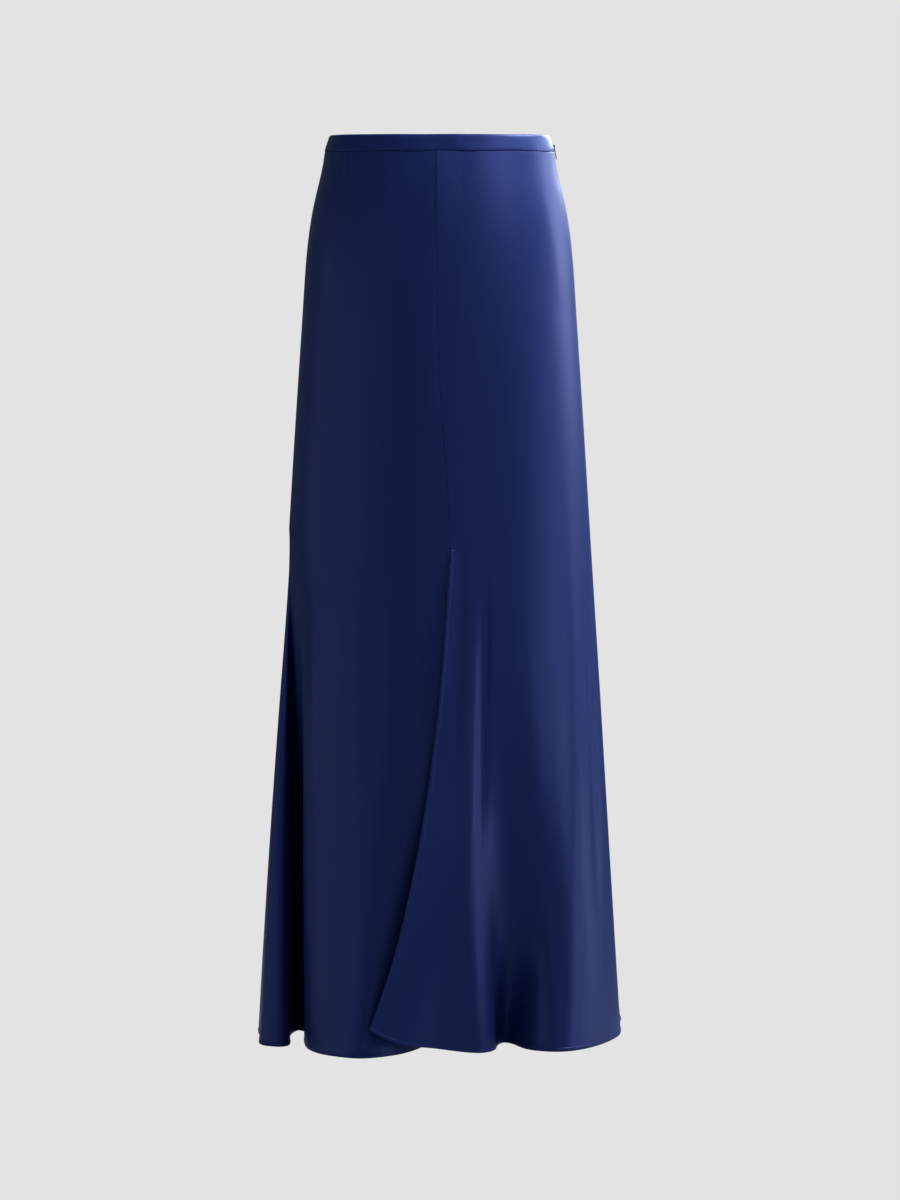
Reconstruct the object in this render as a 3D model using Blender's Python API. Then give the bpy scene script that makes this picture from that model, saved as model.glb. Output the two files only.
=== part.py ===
"""Slip skirt in heavy satin: a long bias-cut skirt on a narrow waistband.

It is held open as if worn. The origin is the centre of the waistband, +Z is up, the front faces -Y,
and +X is the wearer's left, the side with the invisible zip. Sizes are in metres, angles in degrees.
"""
import bpy
import numpy as np
from collections import namedtuple
from math import cos, pi, radians, sin, tau

# ---- driving sizes -------------------------------------------------------------------------------

HEM = -1.0346            # height of the hem where nothing lifts it
KNEE = -0.763            # height of the middle station of the fold lines
SLIT_TOP = -0.459        # where the centre-front seam ends and the slit starts
CLOTH = 0.0012           # wall of the satin panels
SEAM_GAP = 0.0003        # between two pieces that are sewn or lie together
SLIT_SET_BACK = 0.0006   # each free edge of the slit stops this far short of the seam line
RUN_STEP = 0.0004        # how far apart the points lie that give the direction of the cloth

BAND_FOOT = -0.0098      # height of the seam between waistband and panels
BAND_WALL = 0.0024       # two layers of satin with interlining
BAND_PROUD = 0.0005      # the band stands this much outside the panels

ZIP_OPENING = 0.0016     # width of the open slot above the slider and around its neck
ZIP_OPEN_FOOT = -0.016   # below this height the slot narrows
ZIP_CLOSED_TOP = -0.034  # below this height the slot is an ordinary seam
TAPE_TOP = 0.0050
TAPE_FOOT = -0.2150
TAPE_WALL = 0.0010
TAPE_REACH = 0.0150      # how far round the skirt each tape reaches from the slot
COIL_WIDTH = 0.0034
COIL_WALL = 0.0016
COIL_FOOT = -0.2080

HINGE_HEIGHT = -0.0030   # the pull tab's hinge
HINGE_REACH = 0.1323     # its distance from the middle of the skirt
SLIDER_TOP = 0.0015
SLIDER_FOOT = -0.0080
SLIDER_WIDTH = 0.0062
SLIDER_DEPTH = 0.0026
NECK_WALL = 0.0009       # the neck passes through the slot and ends in a round lug
LUG_RADIUS = 0.00135
EYE_RADIUS = 0.00075     # hole in the lug
PIN_RADIUS = 0.00045     # pin of the pull tab in that hole
TAB_WALL = 0.0010
TAB_WIDTH = 0.0040
TAB_LENGTH = 0.0160
TAB_NARROW = 0.0034      # width of the tab at its hinge
EAR_TOP = 0.00062        # the two ears that carry the pin end this far above it
TAB_WINDOW = 0.0015      # width of the window that clears the lug
TAB_WINDOW_FOOT = 0.0019
TAB_LEAN = 11.0          # the tip lies on the cloth, so the tab leans outward from the vertical
ROUND_STEPS = 16         # facets round the small pins and eyes

# ---- the smooth body: one row for each section ---------------------------------------------------

Section = namedtuple("Section", "name height half_width front back")
SECTIONS = (
    Section("band top", 0.0093, 0.1265, 0.0880, 0.0900),
    Section("band foot", -0.0098, 0.1323, 0.0920, 0.0950),
    Section("yoke", -0.0200, 0.1339, 0.0945, 0.0980),
    Section("high hip", -0.0652, 0.1440, 0.1030, 0.1110),
    Section("hip", -0.1807, 0.1575, 0.1140, 0.1280),
    Section("thigh", -0.3430, 0.1683, 0.1210, 0.1330),
    Section("slit", -0.4590, 0.1755, 0.1290, 0.1380),
    Section("lower thigh", -0.6460, 0.1875, 0.1460, 0.1530),
    Section("calf", -0.8803, 0.2021, 0.1640, 0.1740),
    Section("hem", HEM, 0.2118, 0.1740, 0.1880),
)
SQUARENESS = 2.3         # exponent of the sections: 2 is an ellipse

# Profile of the waistband, top to foot: how far its outer face rolls inward.
BandStep = namedtuple("BandStep", "height inset")
BAND_STEPS = (
    BandStep(0.0093, 0.0042),
    BandStep(0.0080, 0.0016),
    BandStep(0.0050, 0.0003),
    BandStep(BAND_FOOT + SEAM_GAP / 2, 0.0),
)

# ---- fold lines: one row for each line of cloth from the hip down --------------------------------
# "turn" is its place round the hip: 0 front centre, 90 the wearer's left side, 180 the back.
# It leaves the smooth body at "start", and passes through the plan points "knee" and "hem" (x, y).
# "ease" says how: 2 leaves the body softly, 1 breaks away at once, as a sharp fold does.
# A line with no plan points stays on the smooth body. "lift" raises the hem there.

Line = namedtuple("Line", "name turn start ease knee hem lift")
LINES = (
    Line("over edge", 2.7, SLIT_TOP, 2.0, (-0.014, -0.172), (-0.088, -0.214), 0.0327),
    Line("over inner", 5.5, SLIT_TOP, 2.0, (0.004, -0.171), (-0.050, -0.200), 0.0160),
    Line("over middle", 8.0, SLIT_TOP, 2.0, (0.020, -0.169), (-0.013, -0.182), 0.0090),
    Line("over outer", 10.5, SLIT_TOP, 2.0, (0.034, -0.167), (0.019, -0.168), 0.0030),
    Line("ridge inner", 13.0, SLIT_TOP, 2.0, (0.045, -0.164), (0.047, -0.163), 0.0),
    Line("ridge", 15.5, SLIT_TOP, 2.0, (0.053, -0.157), (0.0615, -0.149), 0.0),
    Line("ridge outer", 18.0, SLIT_TOP, 2.0, (0.063, -0.147), (0.0670, -0.108), 0.0),
    Line("valley", 22.0, SLIT_TOP, 2.0, (0.081, -0.139), (0.0750, -0.086), 0.0),
    Line("valley outer", 28.0, SLIT_TOP, 2.0, (0.104, -0.134), (0.0870, -0.103), 0.0),
    Line("flute inner", 35.0, SLIT_TOP, 2.0, (0.127, -0.126), (0.1050, -0.140), 0.0),
    Line("flute", 45.0, SLIT_TOP, 2.0, (0.150, -0.112), (0.1380, -0.153), 0.0),
    Line("flute outer", 57.0, SLIT_TOP, 2.0, (0.171, -0.089), (0.1720, -0.124), 0.0),
    Line("flute side", 72.0, SLIT_TOP, 2.0, (0.187, -0.054), (0.1990, -0.068), 0.0),
    Line("left side", 90.0, SLIT_TOP, 2.0, None, None, 0.0),
    Line("back left", 112.0, SLIT_TOP, 2.0, None, None, 0.0),
    Line("back", 180.0, SLIT_TOP, 2.0, None, None, 0.0),
    Line("back right", 238.0, SLIT_TOP, 2.0, None, None, 0.0),
    Line("swing back", 248.0, -0.445, 1.0, (-0.1860, 0.050), (-0.2020, 0.052), 0.0),
    Line("swing side", 254.0, -0.445, 1.0, (-0.1948, 0.016), (-0.2116, 0.000), 0.0),
    Line("swing front", 258.0, -0.445, 1.0, (-0.1935, -0.020), (-0.2080, -0.055), 0.0),
    Line("swing crest", 262.0, -0.445, 1.0, (-0.1870, -0.042), (-0.1985, -0.110), 0.0),
    Line("swing lip", 265.0, -0.445, 1.0, (-0.1790, -0.042), (-0.1800, -0.116), 0.0),
    Line("swing return", 268.0, -0.445, 1.0, (-0.1745, -0.020), (-0.1740, -0.060), 0.0),
    Line("right side", 270.0, -0.445, 1.0, (-0.1680, 0.004), (-0.1665, 0.004), 0.0),
    Line("recess wall", 281.0, -0.445, 1.0, (-0.1600, -0.010), (-0.1560, -0.008), 0.0),
    Line("recess front", 292.0, -0.445, 1.0, (-0.1572, -0.042), (-0.1562, -0.056), 0.0),
    Line("fold edge", 301.0, -0.445, 1.0, (-0.1561, -0.073), (-0.1550, -0.098), 0.0),
    Line("fold round", 309.0, -0.445, 1.0, (-0.1498, -0.099), (-0.1502, -0.133), 0.0),
    Line("panel outer", 317.0, -0.445, 1.0, (-0.1345, -0.120), (-0.1362, -0.167), 0.0),
    Line("panel crest", 327.0, SLIT_TOP, 2.0, (-0.1110, -0.138), (-0.1120, -0.191), 0.0),
    Line("panel middle", 337.0, SLIT_TOP, 2.0, (-0.0820, -0.151), (-0.0860, -0.201), 0.0),
    Line("panel inner", 346.0, SLIT_TOP, 2.0, (-0.0500, -0.156), (-0.0500, -0.177), 0.0),
    Line("under inner", 354.0, SLIT_TOP, 2.0, (-0.0180, -0.153), (-0.0230, -0.128), 0.0),
    Line("under edge", 362.7, SLIT_TOP, 2.0, (0.0180, -0.146), (-0.0040, -0.066), 0.0),
)

# The centre-front seam, and below the slit the free edge of the panel that lies on top.
# "forward" is how far it stands in front of the smooth body.
EdgeStep = namedtuple("EdgeStep", "height x forward")
LEADING_EDGE = (
    EdgeStep(0.0093, -0.0035, 0.0),
    EdgeStep(-0.1800, -0.0029, 0.0),
    EdgeStep(-0.2730, 0.0006, 0.0),
    EdgeStep(-0.3660, 0.0070, 0.0),
    EdgeStep(SLIT_TOP, 0.0122, 0.0),
    EdgeStep(-0.4700, 0.0120, 0.0019),
    EdgeStep(-0.5200, 0.0088, 0.0050),
    EdgeStep(-0.5860, 0.0043, 0.0090),
    EdgeStep(-0.6540, -0.0025, 0.0130),
    EdgeStep(-0.7550, -0.0161, 0.0190),
    EdgeStep(-0.8560, -0.0353, 0.0260),
    EdgeStep(-0.9560, -0.0624, 0.0330),
    EdgeStep(-1.0019, -0.0785, 0.0370),
    EdgeStep(HEM, -0.0880, 0.0400),
)

# Soft flutes round the back, in degrees, and how far they stand out at the knee and at the hem.
Flute = namedtuple("Flute", "name turn half_span knee_out hem_out")
BACK_FLUTES = (
    Flute("left", 116.0, 17.0, 0.005, 0.020),
    Flute("left hollow", 133.0, 12.0, -0.004, -0.016),
    Flute("inner left", 150.0, 15.0, 0.007, 0.026),
    Flute("middle hollow", 168.0, 13.0, -0.006, -0.020),
    Flute("middle", 187.0, 16.0, 0.008, 0.023),
    Flute("right hollow", 206.0, 12.0, -0.005, -0.018),
    Flute("right", 224.0, 15.0, 0.006, 0.021),
)

# Heights of the rows of the panels between their top and their hem.
PANEL_ROWS = (ZIP_OPEN_FOOT, ZIP_CLOSED_TOP, -0.0650, -0.1100, -0.1650, TAPE_FOOT, -0.2900, -0.3800,
              SLIT_TOP, -0.4700, -0.5050, -0.5500, -0.6100, -0.6800, -0.7600, -0.8400, -0.9200, -0.9850)
COLUMN_STEP = 0.023      # widest spacing of the columns at the hem
RECESS_TURN = 0.0035     # the cloth turns back at the right side seam within this distance of it

# ---- curves --------------------------------------------------------------------------------------


def spline_weights(knots, at):
    """Weights that give a natural cubic spline through values at the knots, one row per place."""
    knots = np.asarray(knots, float)
    at = np.atleast_1d(np.asarray(at, float))
    count = len(knots)
    step = np.diff(knots)
    bend = np.eye(count)
    rise = np.zeros((count, count))
    for i in range(1, count - 1):
        bend[i, i - 1:i + 2] = step[i - 1], 2.0 * (step[i - 1] + step[i]), step[i]
        rise[i, i - 1:i + 2] = 6.0 / step[i - 1], -6.0 / step[i - 1] - 6.0 / step[i], 6.0 / step[i]
    second = np.linalg.solve(bend, rise)
    cell = np.clip(np.searchsorted(knots, at) - 1, 0, count - 2)
    width = step[cell]
    before = (knots[cell + 1] - at) / width
    after = (at - knots[cell]) / width
    weights = (second[cell] * ((before ** 3 - before) * width ** 2 / 6.0)[:, None]
               + second[cell + 1] * ((after ** 3 - after) * width ** 2 / 6.0)[:, None])
    rows = np.arange(len(at))
    weights[rows, cell] += before
    weights[rows, cell + 1] += after
    return weights


def smooth_table(rows, height):
    """Value of a table at some heights; each row of the table is (height, value)."""
    ordered = sorted(rows)
    knots = [row[0] for row in ordered]
    values = np.array([row[1] for row in ordered])
    return spline_weights(knots, np.ravel(height)).dot(values).reshape(np.shape(height))


def body_point(turn, height):
    """Plan point of the smooth body."""
    half_width = smooth_table([(s.height, s.half_width) for s in SECTIONS], height)
    front = smooth_table([(s.height, s.front) for s in SECTIONS], height)
    back = smooth_table([(s.height, s.back) for s in SECTIONS], height)
    angle = np.radians(turn)
    side = np.sin(angle)
    ahead = np.cos(angle)
    power = 2.0 / SQUARENESS
    x = half_width * np.sign(side) * np.abs(side) ** power
    y = -np.where(ahead > 0.0, front, back) * np.sign(ahead) * np.abs(ahead) ** power
    return np.stack([x, y], axis=-1)


def line_offset(line, height):
    """How far a fold line stands off the smooth body, in plan."""
    if line.name in ("over edge", "under edge"):
        seam_x = smooth_table([(e.height, e.x) for e in LEADING_EDGE], height)
        ahead = smooth_table([(e.height, e.forward) for e in LEADING_EDGE], height)
        body = body_point(np.full(np.shape(height), line.turn), height)
        edge = np.stack([seam_x - body[..., 0], -ahead], axis=-1)
        above = np.stack([seam_x - body[..., 0], 0.0 * ahead], axis=-1)
        if line.name == "over edge":
            return np.where((height < SLIT_TOP)[..., None], edge, above)
        below = station_offset(line, height)
        return np.where((height < SLIT_TOP)[..., None], below, above)
    if line.knee is None:
        return np.zeros(np.shape(height) + (2,))
    return station_offset(line, height)


def station_shares(height, start, ease):
    """Shares of the knee and hem offsets at a height, both nothing at the start and above."""
    drop = np.maximum(start - height, 0.0) / (start - HEM)
    knee = (start - KNEE) / (start - HEM)
    knee_share = drop ** ease * (1.0 - drop) / (knee ** ease * (1.0 - knee))
    hem_share = drop ** ease * (drop - knee) / (1.0 - knee)
    return knee_share, hem_share


def station_offset(line, height):
    """Offset of a line that leaves the body at its start and passes its knee and hem stations."""
    at_knee = np.array(line.knee) - body_point(line.turn, KNEE)
    at_hem = np.array(line.hem) - body_point(line.turn, HEM)
    knee_share, hem_share = station_shares(height, line.start, line.ease)
    return knee_share[..., None] * at_knee + hem_share[..., None] * at_hem


def line_places():
    """Parameter of each line: its distance round the skirt, half way between hip and hem."""
    turns = np.array([line.turn for line in LINES])
    hip = body_point(turns, -0.30)
    hem = np.array([body_point(line.turn, HEM) + line_offset(line, np.array(HEM)) for line in LINES])
    chord = 0.5 * (np.linalg.norm(np.diff(hip, axis=0), axis=1)
                   + np.linalg.norm(np.diff(hem, axis=0), axis=1))
    return np.concatenate([[0.0], np.cumsum(chord)])


PLACES = line_places()


def turn_at(place):
    """Turn of a place round the skirt, always rising, with smooth speed."""
    turns = np.array([line.turn for line in LINES])
    slope = np.diff(turns) / np.diff(PLACES)
    inner = 2.0 * slope[1:] * slope[:-1] / (slope[1:] + slope[:-1])
    speed = np.concatenate([[slope[0]], inner, [slope[-1]]])
    cell = np.clip(np.searchsorted(PLACES, place) - 1, 0, len(PLACES) - 2)
    width = (PLACES[1:] - PLACES[:-1])[cell]
    t = (place - PLACES[cell]) / width
    return ((2 * t ** 3 - 3 * t ** 2 + 1) * turns[cell] + (t ** 3 - 2 * t ** 2 + t) * width * speed[cell]
            + (3 * t ** 2 - 2 * t ** 3) * turns[cell + 1] + (t ** 3 - t ** 2) * width * speed[cell + 1])


def flute_offset(turn, height):
    """Outward swing of the flutes round the back."""
    knee_share, hem_share = station_shares(height, SLIT_TOP, 2.0)
    out = np.zeros(np.shape(turn))
    for flute in BACK_FLUTES:
        reach = np.clip(np.abs(turn - flute.turn) / flute.half_span, 0.0, 1.0)
        bump = 0.5 + 0.5 * np.cos(pi * reach)
        out = out + bump * (flute.knee_out * knee_share + flute.hem_out * hem_share)
    angle = np.radians(turn)
    return out[..., None] * np.stack([np.sin(angle), -np.cos(angle)], axis=-1)


def skirt_plan(place, height):
    """Plan points of the skirt's outer face at places round it and heights of the same shape."""
    weights = spline_weights(PLACES, np.ravel(place))
    heights = np.ravel(height)
    turn = turn_at(np.ravel(place))
    plan = body_point(turn, heights) + flute_offset(turn, heights)
    for column, line in enumerate(LINES):
        plan = plan + weights[:, column, None] * line_offset(line, heights)
    return plan.reshape(np.shape(place) + (2,))


def skirt_point(place, height, inset=0.0, aside=0.0):
    """Points of the skirt, moved inward by inset and along the cloth by aside."""
    place, height, inset, aside = np.broadcast_arrays(place, height, inset, aside)
    run = skirt_plan(np.minimum(place + RUN_STEP, PLACES[-1]), height)
    run = run - skirt_plan(np.maximum(place - RUN_STEP, 0.0), height)
    run = run / np.linalg.norm(run, axis=-1, keepdims=True)
    outward = np.stack([run[..., 1], -run[..., 0]], axis=-1)
    plan = skirt_plan(place, height) - outward * inset[..., None] + run * aside[..., None]
    return np.concatenate([plan, height[..., None]], axis=-1)


def hem_height(place):
    """Height of the hem at places round the skirt."""
    lifts = np.array([line.lift for line in LINES])
    return HEM + spline_weights(PLACES, place).dot(lifts)


def place_of(name):
    """Place of a named fold line."""
    return PLACES[[line.name for line in LINES].index(name)]


def columns_between(first, last):
    """Places of a panel's columns, from one named line to another."""
    names = [line.name for line in LINES]
    start, stop = names.index(first), names.index(last)
    places = [PLACES[start]]
    for i in range(start, stop):
        a = skirt_plan(PLACES[i:i + 1], np.array([HEM]))
        b = skirt_plan(PLACES[i + 1:i + 2], np.array([HEM]))
        count = max(1, round(float(np.linalg.norm(b - a)) / COLUMN_STEP))
        places += list(np.linspace(PLACES[i], PLACES[i + 1], count + 1)[1:])
    if first == "left side":
        places.insert(1, tape_edge(1))
    if last == "left side":
        places.insert(-1, tape_edge(-1))
    if last == "right side":
        places.insert(-1, place_of(last) - RECESS_TURN)
    if first == "right side":
        places.insert(1, place_of(first) + RECESS_TURN)
    return np.array(places)


def tape_edge(side):
    """Place of the outer edge of a zip tape; side is -1 in front of the slot and +1 behind it."""
    return place_of("left side") + side * TAPE_REACH


# ---- meshes --------------------------------------------------------------------------------------


def material(name, colour, roughness, metallic=0.0):
    """A plain Principled material."""
    made = bpy.data.materials.new(name)
    made.use_nodes = True
    shader = made.node_tree.nodes["Principled BSDF"]
    shader.inputs["Base Color"].default_value = (*colour, 1.0)
    shader.inputs["Roughness"].default_value = roughness
    shader.inputs["Metallic"].default_value = metallic
    made.diffuse_color = (*colour, 1.0)
    return made


def add_mesh(name, points, faces, finish, origin=(0.0, 0.0, 0.0)):
    """A named object from points in the skirt's frame, with its own origin."""
    mesh = bpy.data.meshes.new(name)
    local = [tuple(np.asarray(p) - np.asarray(origin)) for p in points]
    mesh.from_pydata(local, [], faces)
    mesh.materials.append(finish)
    mesh.validate()
    mesh.shade_smooth()
    mesh.set_sharp_from_angle(angle=radians(40.0))
    made = bpy.data.objects.new(name, mesh)
    made.location = origin
    bpy.context.scene.collection.objects.link(made)
    return made


def loop_sweep(name, loops, finish):
    """A closed solid from equal closed loops of points, one after the other, capped at both ends.

    Seen from the start of the sweep, each loop runs counter-clockwise.
    """
    count = len(loops[0])
    points = [p for loop in loops for p in loop]
    faces = []
    for i in range(len(loops) - 1):
        for j in range(count):
            k = (j + 1) % count
            faces.append((i * count + j, (i + 1) * count + j, (i + 1) * count + k, i * count + k))
    last = (len(loops) - 1) * count
    faces.append(tuple(range(count)))
    faces.append(tuple(range(last + count - 1, last - 1, -1)))
    return add_mesh(name, points, faces, finish)


def wall(name, outer, inner, finish):
    """A cloth wall between two grids of points, [column][row], columns running with the turn.

    Both faces are split into triangles the same way, so the wall keeps its thickness where it twists.
    """
    columns, rows = outer.shape[:2]
    points = np.concatenate([outer.reshape(-1, 3), inner.reshape(-1, 3)])
    back = columns * rows

    def at(i, j):
        return i * rows + j

    faces = []
    for i in range(columns - 1):
        for j in range(rows - 1):
            a, b, c, d = at(i, j), at(i, j + 1), at(i + 1, j + 1), at(i + 1, j)
            if np.linalg.norm(points[a] - points[c]) < np.linalg.norm(points[b] - points[d]):
                halves = (a, b, c), (a, c, d)
            else:
                halves = (a, b, d), (b, c, d)
            faces += halves
            faces += [tuple(corner + back for corner in reversed(half)) for half in halves]
    rim = [at(i, 0) for i in range(columns)]
    rim += [at(columns - 1, j) for j in range(1, rows)]
    rim += [at(i, rows - 1) for i in range(columns - 2, -1, -1)]
    rim += [at(0, j) for j in range(rows - 2, 0, -1)]
    for here, there in zip(rim, rim[1:] + rim[:1]):
        faces.append((here, there, there + back, here + back))
    return add_mesh(name, points, faces, finish)


# ---- the pieces ----------------------------------------------------------------------------------


def zip_slot(height):
    """Half the width of the slot between the two sides of the zip, at a height."""
    return np.interp(height, [ZIP_CLOSED_TOP, ZIP_OPEN_FOOT], [SEAM_GAP / 2, ZIP_OPENING / 2])


def edge_clearance(seam, height):
    """How far a panel's edge stops short of a seam line, at a height."""
    if seam == "left side":
        return zip_slot(height)
    if seam in ("over edge", "under edge"):
        return np.where(height < SLIT_TOP, SLIT_SET_BACK, SEAM_GAP / 2)
    return np.full(np.shape(height), SEAM_GAP / 2)


def panel(name, first, last, finish):
    """One panel of satin from one seam line to the next."""
    places = columns_between(first, last)
    top = BAND_FOOT - SEAM_GAP / 2
    height = np.array([[top, *PANEL_ROWS, hem] for hem in hem_height(places)])
    place = np.repeat(places[:, None], height.shape[1], axis=1)
    aside = np.zeros(height.shape)
    aside[0] = edge_clearance(first, height[0])
    aside[-1] = -edge_clearance(last, height[-1])
    outer = skirt_point(place, height, 0.0, aside)
    inner = skirt_point(place, height, CLOTH, aside)
    return wall(name, outer, inner, finish)


def waistband(finish):
    """The narrow band, one strip from the back side of the zip all round to its front side."""
    places = columns_between("left side", "under edge")
    places = np.concatenate([places, columns_between("over edge", "left side")[1:]])
    height = np.array([[step.height for step in BAND_STEPS]] * len(places))
    inset = np.array([[step.inset - BAND_PROUD for step in BAND_STEPS]] * len(places))
    place = np.repeat(places[:, None], height.shape[1], axis=1)
    aside = np.zeros(height.shape)
    aside[0] = ZIP_OPENING / 2
    aside[-1] = -ZIP_OPENING / 2
    outer = skirt_point(place, height, inset, aside)
    inner = skirt_point(place, height, inset + BAND_WALL, aside)
    return wall("waistband", outer, inner, finish)


def zip_tape(name, side, finish):
    """One tape of the zip, on the inside of its panel; side is -1 in front of the slot, +1 behind."""
    heights = np.array([TAPE_TOP, BAND_FOOT, *[row for row in PANEL_ROWS if row >= TAPE_FOOT]])
    under_band = BAND_WALL - BAND_PROUD + SEAM_GAP
    inset = np.where(heights < BAND_FOOT, CLOTH + SEAM_GAP, under_band)
    places = np.array([place_of("left side"), tape_edge(side)])
    aside = np.zeros((2, len(heights)))
    aside[0] = side * zip_slot(heights)
    if side < 0:
        places, aside = places[::-1], aside[::-1]
    place, height = np.meshgrid(places, heights, indexing="ij")
    outer = skirt_point(place, height, inset, aside)
    inner = skirt_point(place, height, inset + TAPE_WALL, aside)
    return wall(name, outer, inner, finish)


def seam_bar(name, heights, width, inset, depth, finish):
    """A bar along the inside of the zip's slot; inset is how far it lies under the skirt's face."""
    middle = skirt_point(place_of("left side"), heights)
    outer = np.stack([middle + np.array([0.0, across, 0.0]) for across in (-width / 2, width / 2)])
    outer[..., 0] -= inset
    inner = outer - np.array([depth, 0.0, 0.0])
    return wall(name, outer, inner, finish)


def zip_coil(finish):
    """The closed coil, below the slider."""
    top = SLIDER_FOOT - SEAM_GAP
    heights = np.array([top, *[row for row in PANEL_ROWS if row > COIL_FOOT], COIL_FOOT])
    under_band = BAND_WALL - BAND_PROUD + 2 * SEAM_GAP + TAPE_WALL
    under_panel = CLOTH + 2 * SEAM_GAP + TAPE_WALL
    inset = np.interp(heights, [ZIP_OPEN_FOOT, BAND_FOOT], [under_panel, under_band])
    return seam_bar("zip_coil", heights, COIL_WIDTH, inset, COIL_WALL, finish)


def prism(name, outline, low, high, finish):
    """A plate cut to an outline of (x, z) points, counter-clockwise seen from -Y, from y low to high."""
    loops = [[(x, y, z) for x, z in outline] for y in (low, high)]
    return loop_sweep(name, loops, finish)


def disc_outline(centre, radius, steps=ROUND_STEPS):
    """Points of a circle in the XZ plane."""
    x, z = centre
    return [(x + radius * cos(tau * i / steps), z + radius * sin(tau * i / steps)) for i in range(steps)]


def join_solid(target, guide, operation):
    """Unite a guide solid with a piece, or cut it out of the piece; the guide itself is no piece."""
    step = target.modifiers.new(guide.name, "BOOLEAN")
    step.operation = operation
    step.object = guide
    guide.hide_render = True
    guide.display_type = "WIRE"


def zip_slider(finish):
    """Body on the coil inside, neck through the slot, and a lug outside with an eye along Y."""
    heights = np.array([SLIDER_TOP, SLIDER_FOOT])
    inset = BAND_WALL - BAND_PROUD + 2 * SEAM_GAP + TAPE_WALL
    slider = seam_bar("zip_slider", heights, SLIDER_WIDTH, np.full(2, inset), SLIDER_DEPTH, finish)
    root = skirt_point(place_of("left side"), np.array(HINGE_HEIGHT))[0] - inset - SLIDER_DEPTH / 2
    arc = np.linspace(-pi / 2, pi / 2, ROUND_STEPS // 2 + 1)
    neck_outline = [(HINGE_REACH + LUG_RADIUS * cos(a), HINGE_HEIGHT + LUG_RADIUS * sin(a)) for a in arc]
    neck_outline += [(root, HINGE_HEIGHT + LUG_RADIUS), (root, HINGE_HEIGHT - LUG_RADIUS)]
    neck = prism("slider neck", neck_outline, -NECK_WALL / 2, NECK_WALL / 2, finish)
    eye_outline = disc_outline((HINGE_REACH, HINGE_HEIGHT), EYE_RADIUS)
    eye = prism("slider eye", eye_outline, -NECK_WALL, NECK_WALL, finish)
    join_solid(slider, neck, "UNION")
    join_solid(slider, eye, "DIFFERENCE")
    return slider


def zip_pull(finish):
    """The flat tab: a ring of metal round the lug's eye, and a tongue that widens towards its tip."""
    hinge = (HINGE_REACH, 0.0, HINGE_HEIGHT)
    half_neck = TAB_NARROW / 2
    half_tip = TAB_WIDTH / 2
    corner = TAB_WIDTH / 4
    shoulder = 3 * corner - TAB_LENGTH
    foot = corner - TAB_LENGTH
    outline = [(-half_neck, EAR_TOP), (-half_tip, shoulder), (-half_tip, foot), (-corner, -TAB_LENGTH),
               (corner, -TAB_LENGTH), (half_tip, foot), (half_tip, shoulder), (half_neck, EAR_TOP)]
    window = [(-TAB_WINDOW / 2, 2 * EAR_TOP), (-TAB_WINDOW / 2, -TAB_WINDOW_FOOT),
              (TAB_WINDOW / 2, -TAB_WINDOW_FOOT), (TAB_WINDOW / 2, 2 * EAR_TOP)]
    half = TAB_WALL / 2

    def plate(name, shape, reach):
        """A plate in the YZ plane through the hinge."""
        loops = [[(x, y, z) for y, z in shape] for x in (reach, -reach)]
        return loop_sweep(name, loops, finish)

    tab = plate("zip_pull", outline, half)
    hole = plate("pull window", window, 2 * half)
    pin_outline = disc_outline((0.0, 0.0), PIN_RADIUS)
    pin = prism("pull pin", pin_outline, -half_neck + half / 2, half_neck - half / 2, finish)
    join_solid(tab, hole, "DIFFERENCE")
    join_solid(tab, pin, "UNION")
    for piece in (tab, hole, pin):
        piece.location = hinge
        piece.rotation_euler = (0.0, radians(-TAB_LEAN), 0.0)
    return tab


def clear_scene():
    """Remove whatever the scene holds."""
    for item in list(bpy.data.objects):
        bpy.data.objects.remove(item, do_unlink=True)


def build():
    """Make every piece of the skirt."""
    clear_scene()
    satin = material("satin", (0.010, 0.020, 0.105), 0.38)
    tape = material("zip tape", (0.008, 0.014, 0.060), 0.75)
    coil = material("zip coil", (0.008, 0.012, 0.045), 0.45)
    metal = material("zip metal", (0.012, 0.018, 0.060), 0.35, 0.6)
    panel("front_panel_left", "over edge", "left side", satin)
    panel("back_panel", "left side", "right side", satin)
    panel("front_panel_right", "right side", "under edge", satin)
    waistband(satin)
    zip_tape("zip_tape_front", -1, tape)
    zip_tape("zip_tape_back", 1, tape)
    zip_coil(coil)
    zip_slider(metal)
    zip_pull(metal)


build()
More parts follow.
